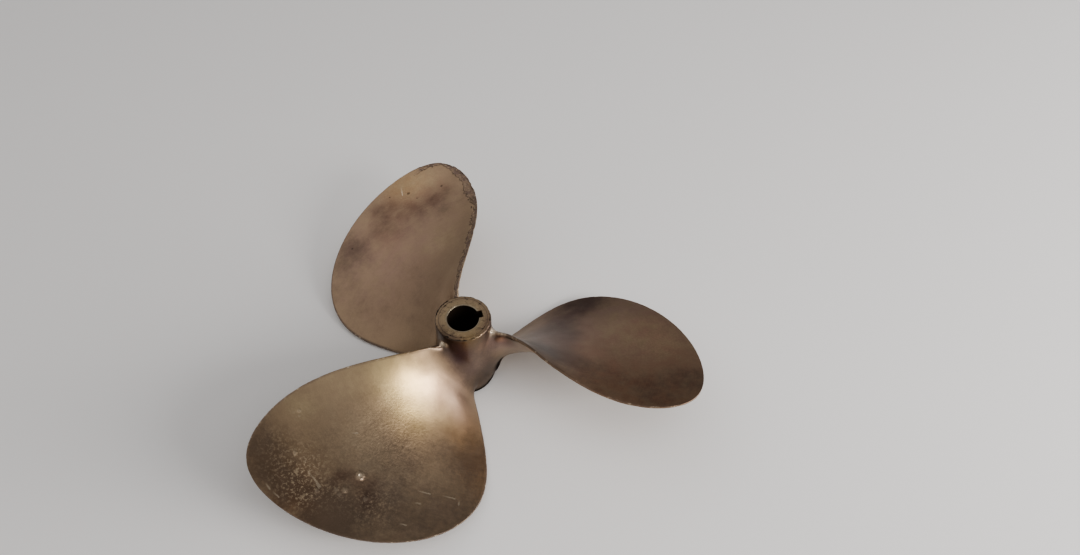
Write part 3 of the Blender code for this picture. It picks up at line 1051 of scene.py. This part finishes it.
def with_aft_ring(tree, layers, spot, color):
    """The colour with the aft ring's gold band and pale bore rim, and the layers of its dark lines."""
    x, y, z = node(tree, "SeparateXYZ", {0: spot}).outputs
    radial = maths(tree, "SQRT", total(tree, (x, x), (y, y)))
    on_top = step_up(tree, z, *(AFT_Z - drop for drop in RING_DROPS))
    inside = step_up(tree, radial, *(HUB_RADIUS + margin for margin in RING_MARGINS))
    on_ring = product(tree, on_top, inside)
    wobbly = total(tree, (radial, 1.0), (layers["flecks"], RING_WOBBLE))

    rings = total(tree, (radial, TURNING_RATE), (layers["broad"], TURNING_DRIFT))
    inputs = {"W": rings, "Scale": 1.0, "Detail": TURNING_DETAIL}
    turning = node(tree, "TexNoise", inputs, noise_dimensions="1D").outputs[0]
    layers["turning"] = product(tree, on_ring, maths(tree, "SUBTRACT", turning, 0.5))

    dark = [near_band(tree, wobbly, *line) for line in RING_LINES]
    dark.append(step_up(tree, layers["flecks"], *RING_SPECK_STEP))
    dark = total(tree, *((value, 1.0) for value in dark))
    layers["ring_dark"] = product(tree, on_ring, dark, step_up(tree, layers["patches"], *RING_GAP_STEP))

    bloom = step_up(tree, layers["bloom"], *RING_BLOOM_STEP)
    gold = maths(tree, "ADD", near_band(tree, wobbly, *RING_GOLD), bloom)
    color = blended(tree, product(tree, on_ring, gold), color, GOLD)
    upper = step_up(tree, z, AFT_Z - BORE_RIM_DROP, AFT_Z)
    return blended(tree, product(tree, near_band(tree, wobbly, *BORE_RIM), upper), color, PALE_RIM)


def with_wear_and_dirt(tree, layers, spot, color):
    """The colour with brown rims, partly painted shade; dark dips, cracks and ring lines, and painted shade
    at the hub's foot and along blade 0's root; bright lumps, scratches and worn rims, and painted
    highlights at the blades' roots.
    """
    ragged_spot = wavy(tree, spot)
    lumps, dips = lumps_and_dents(tree, ragged_spot)
    scratch = scratches(tree, ragged_spot)
    # Painted highlights at the blades' roots
    polish = carried(tree, "polish")
    # Rim browning, partly patina and partly painted shade
    edge = product(tree, carried(tree, "edge"), step_up(tree, layers["patches"], *EDGE_GAP_STEP))
    # Dark dips, cracks and ring lines, and painted shade at the hub's foot and along blade 0's root
    dark = highest(tree, dips, carried(tree, "painted_shade"), layers["crack"], layers["ring_dark"])
    bare = step_up(tree, carried(tree, "rim"), *WEAR_REACH)
    wear = product(tree, bare, step_up(tree, layers["flecks"], *WEAR_STEP))
    shine = product(tree, scratch, SCRATCH_SHINE)
    bright = highest(tree, product(tree, lumps, LUMP_SHINE), wear, shine, polish)
    dirt = highest(tree, dark, product(tree, edge, EDGE_DIRT_AND_SHADE))
    layers.update(scratch=scratch, polish=polish, dark=dark, bright=bright, dirt=dirt)
    color = blended(tree, edge, color, EDGE_BROWN)
    color = blended(tree, dark, color, SOOT_AND_SHADE)
    return blended(tree, bright, color, BRIGHT)


def bronze():
    """Worn manganese bronze: brown and gold mottling, sanding streaks, dark rims and bright spots."""
    material = bpy.data.materials.new("worn_bronze")
    material.use_nodes = True
    tree = material.node_tree
    spot = node(tree, "TexCoord").outputs["Object"]
    layers = {name: clouds(tree, spot, *facts) for name, facts in NOISES.items()}
    speckle = maths(tree, "SUBTRACT", layers["speckle"], 0.5)
    layers["one"] = 1.0
    layers["streaks"] = streaks(tree)
    layers["grains"] = product(tree, carried(tree, "grainy"), speckle)

    color = base_color(tree, layers)
    color = with_flecks(tree, layers, color)
    color = with_worn_strip(tree, layers, color)
    color = with_aft_ring(tree, layers, spot, color)
    color = with_wear_and_dirt(tree, layers, spot, color)

    bump = node(tree, "Bump", {"Strength": 1.0, "Distance": 1.0, "Height": mixed(tree, layers, BUMP)})
    finish = {
        "Base Color": vector_maths(tree, "SCALE", color, mixed(tree, layers, SHADE)),
        "Roughness": mixed(tree, layers, ROUGHNESS),
        "Metallic": mixed(tree, layers, METALLIC),
        "Specular IOR Level": mixed(tree, layers, SPECULAR),
        "Normal": bump.outputs[0],
    }
    for name, value in finish.items():
        tree.links.new(value, tree.nodes["Principled BSDF"].inputs[name])
    return material


def floor():
    """A plain pale floor under the propeller."""
    z = CAD_BOX[0][2]
    half = FLOOR_SIZE / 2
    corners = [(-half, -half, z), (half, -half, z), (half, half, z), (-half, half, z)]
    item = solid("floor", corners, [(0, 1, 2, 3)])
    material = bpy.data.materials.new("pale_floor")
    material.use_nodes = True
    shader = material.node_tree.nodes["Principled BSDF"]
    shader.inputs["Base Color"].default_value = FLOOR_COLOR
    shader.inputs["Roughness"].default_value = FLOOR_ROUGHNESS
    shader.inputs["Specular IOR Level"].default_value = FLOOR_SPECULAR
    item.data.materials.append(material)


def direction(azimuth, elevation):
    """The unit vector towards an azimuth and elevation in degrees."""
    level = cos(radians(elevation))
    return Vector((cos(radians(azimuth)) * level, sin(radians(azimuth)) * level, sin(radians(elevation))))


def lamp(name, azimuth, elevation, distance, width, height, radiance, roll, color, glossy):
    """A soft rectangular light that looks at the propeller from a direction, turned by its roll."""
    data = bpy.data.lights.new(name, "AREA")
    data.shape = "RECTANGLE"
    data.size = width
    data.size_y = height
    data.energy = radiance * pi * width * height
    data.color = color
    item = bpy.data.objects.new(name, data)
    way = direction(azimuth, elevation)
    item.location = way * distance
    item.rotation_euler = (way.to_track_quat("Z", "Y") @ Quaternion((0, 0, 1), radians(roll))).to_euler()
    item.visible_glossy = glossy
    bpy.context.scene.collection.objects.link(item)


def room():
    """Soft light from all round: brighter overhead, dimmer in a few broad directions."""
    world = bpy.data.worlds.new("room")
    bpy.context.scene.world = world
    world.use_nodes = True
    tree = world.node_tree
    back = tree.nodes["Background"]
    way = node(tree, "TexCoord").outputs["Generated"]
    up = node(tree, "SeparateXYZ", {0: way}).outputs[2]
    level = step_up(tree, up, *ROOM_HEIGHTS, *ROOM_LEVELS)
    for azimuth, elevation, reach, share in ROOM_DIMS:
        towards = vector_maths(tree, "DOT_PRODUCT", way, direction(azimuth, elevation))
        level = product(tree, level, step_up(tree, towards, cos(radians(reach)), 1.0, 1.0, share))
    seen = node(tree, "LightPath").outputs["Is Camera Ray"]
    unseen = maths(tree, "SUBTRACT", 1.0, seen)
    tree.links.new(total(tree, (level, unseen), (seen, BACKDROP_LEVEL)), back.inputs["Strength"])
    back.inputs["Color"].default_value = ROOM_COLOR


def camera():
    """The camera at the photograph's viewing angle."""
    data = bpy.data.cameras.new("camera")
    data.sensor_width = SENSOR_WIDTH
    data.lens = CAMERA_LENS
    data.clip_start = NEAREST_SEEN
    item = bpy.data.objects.new("camera", data)
    turned = Matrix.Rotation(CAMERA_PAN, 4, "Z") @ Matrix.Rotation(pi / 2 - CAMERA_TILT, 4, "X")
    item.matrix_world = Matrix.Translation(CAMERA_PLACE) @ turned @ Matrix.Rotation(CAMERA_ROLL, 4, "Z")
    bpy.context.scene.collection.objects.link(item)
    bpy.context.scene.camera = item


def main():
    item = casting()
    refine(item)
    weather(item)
    item.data.materials.clear()
    item.data.materials.append(bronze())
    item.data.shade_smooth()
    item.data.set_sharp_from_angle(angle=SHARP_ANGLE)
    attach(item, "root")
    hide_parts("propeller")
    floor()
    room()
    for facts in LAMPS:
        lamp(*facts)
    camera()
    view = bpy.context.scene.view_settings
    view.view_transform = "AgX"
    view.look = "AgX - Medium High Contrast"
    view.exposure = EXPOSURE


main()
